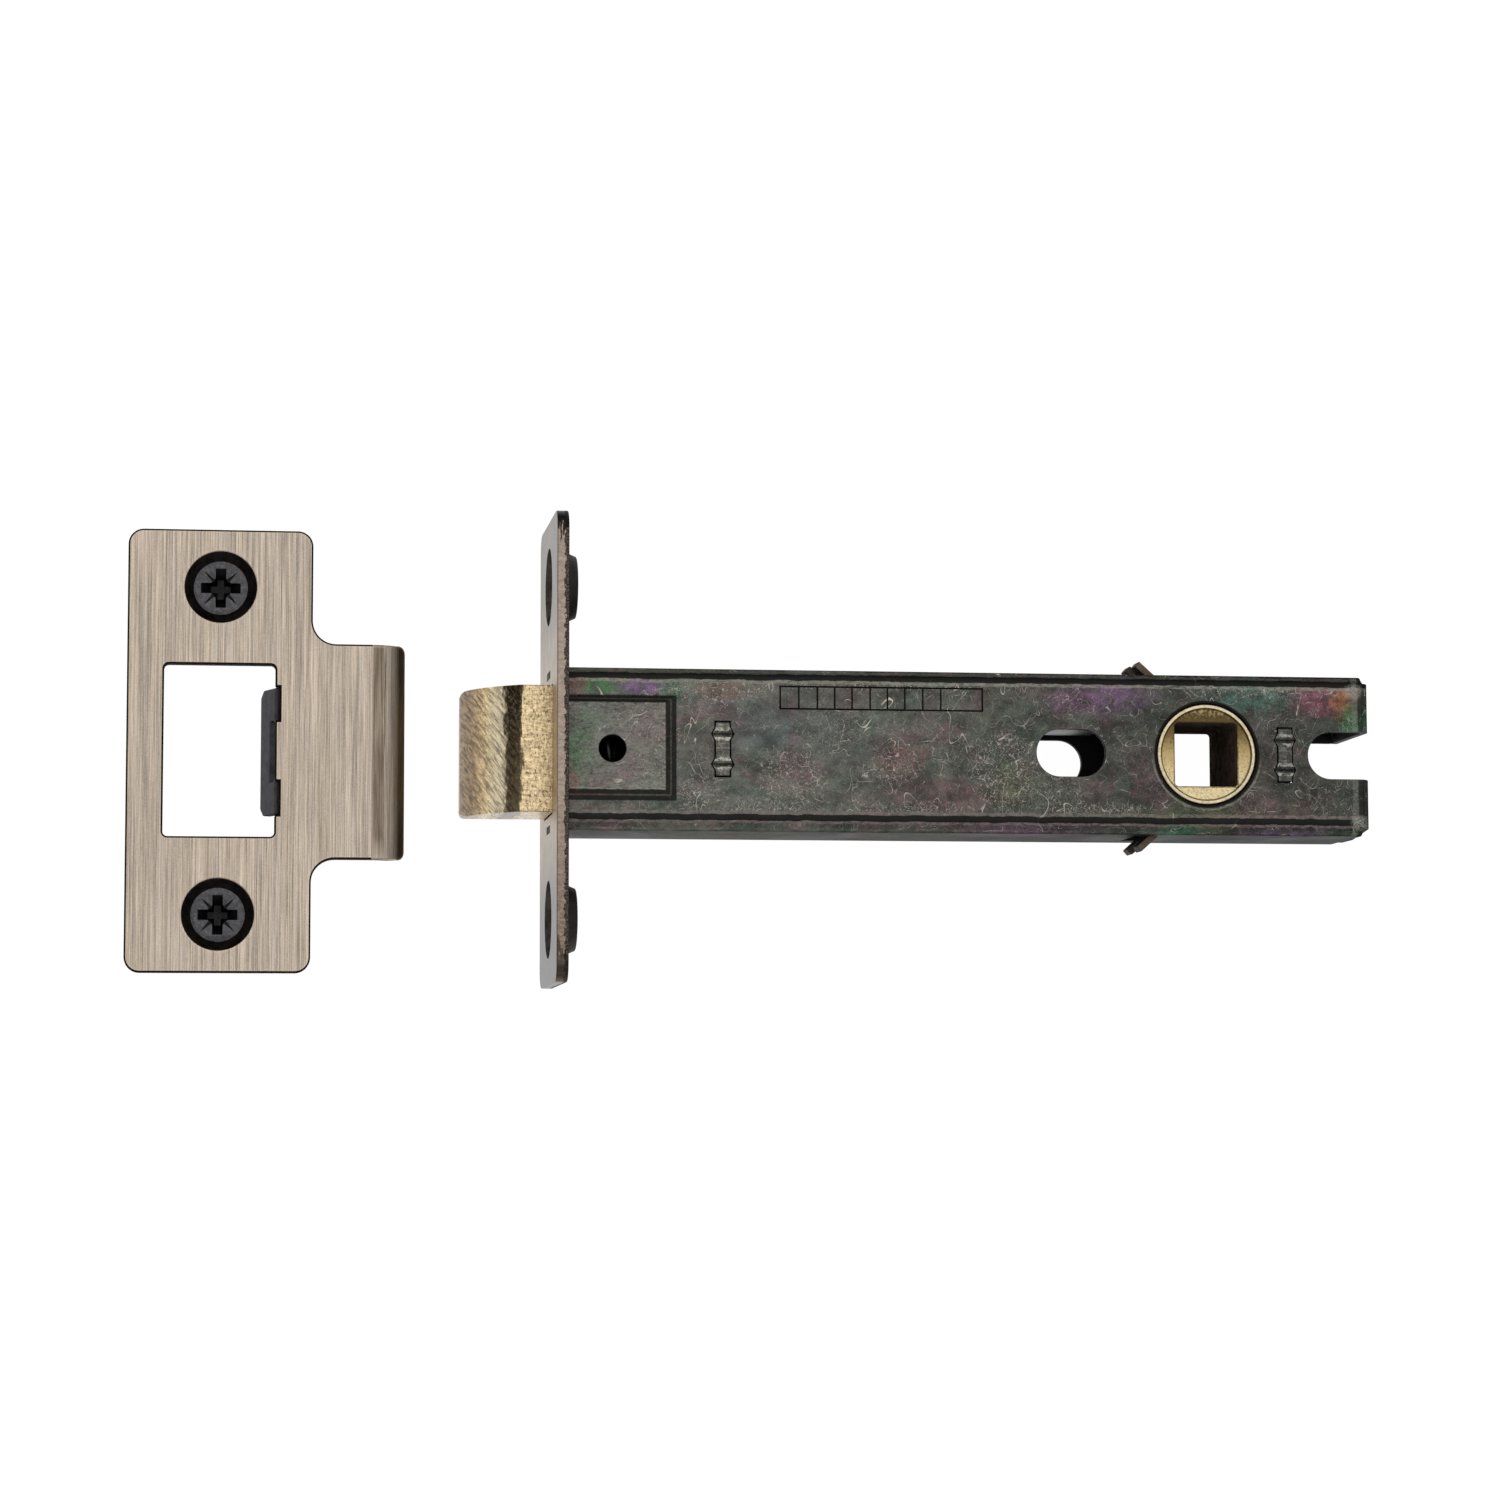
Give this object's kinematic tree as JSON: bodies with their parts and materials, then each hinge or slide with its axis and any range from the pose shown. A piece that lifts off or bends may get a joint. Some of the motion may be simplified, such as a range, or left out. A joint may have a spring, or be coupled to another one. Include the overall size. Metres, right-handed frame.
{
  "type": "tubular door latch with strike plate",
  "caption": "Tubular sprung door latch with a bevelled bolt, rectangular forend, square spindle follower and bolt-through case, with its strike plate and screws.",
  "frame": {"origin": "centre of the forend's front face, on the case's long axis", "axes": "+X from the forend along the case into the door, +Y along the forend's length, +Z along the spindle through the face that carries the sight hole nearer the viewer"},
  "size_m": [0.1569, 0.0584, 0.027],
  "materials": {
    "antique_brass_plate": "satin antique brass plating, brushed along Y",
    "passivated_case": "black zinc passivation with an iridescent bloom and fine scratches",
    "bare_steel": "bare, staked ends bruised bright",
    "brass_bolt": "pale brass, brushed bevel",
    "brass_follower": "satin brass",
    "zinced_bar": "bright zinc",
    "zinced_slide": "bright zinc, matt",
    "spring_wire": "drawn spring wire",
    "black_screw": "black oxide"
  },
  "bodies": {
    "case": {"forend_plate": "antique_brass_plate", "case_body": "passivated_case", "case_cover": "passivated_case", "front_bridge": "bare_steel", "rear_bridge": "bare_steel", "bolt_spring": "spring_wire", "return_spring": "spring_wire", "strike_plate": "antique_brass_plate", "strike_screws": "black_screw"},
    "follower": {"follower": "brass_follower"},
    "bolt": {"latch_bolt": "brass_bolt", "draw_bar_upper": "zinced_bar", "draw_bar_lower": "zinced_bar"},
    "return_fork": {"return_slide": "zinced_slide", "return_rod": "bare_steel"}
  },
  "joints": [
    {"name": "follower_turn", "type": "hinge", "parent": "case", "child": "follower", "pos_m": [0.083, 0, 0], "axis": [0, 0, -1], "range_deg": [0, 70]},
    {"name": "bolt_slide", "type": "slide", "parent": "case", "child": "bolt", "axis": [1, 0, 0], "range_m": [0, 0.01038], "stiffness_N_per_m": 150, "springref_m": -0.01, "deforming": ["bolt_spring"]},
    {"name": "fork_slide", "type": "slide", "parent": "case", "child": "return_fork", "axis": [-1, 0, 0], "range_m": [0, 0.0033], "deforming": ["return_spring"]}
  ],
  "couplings": [
    {"joint": "follower_turn", "follows": "bolt_slide", "rad_per_m": 117.68},
    {"joint": "fork_slide", "follows": "bolt_slide", "ratio": 0.31774}
  ]
}
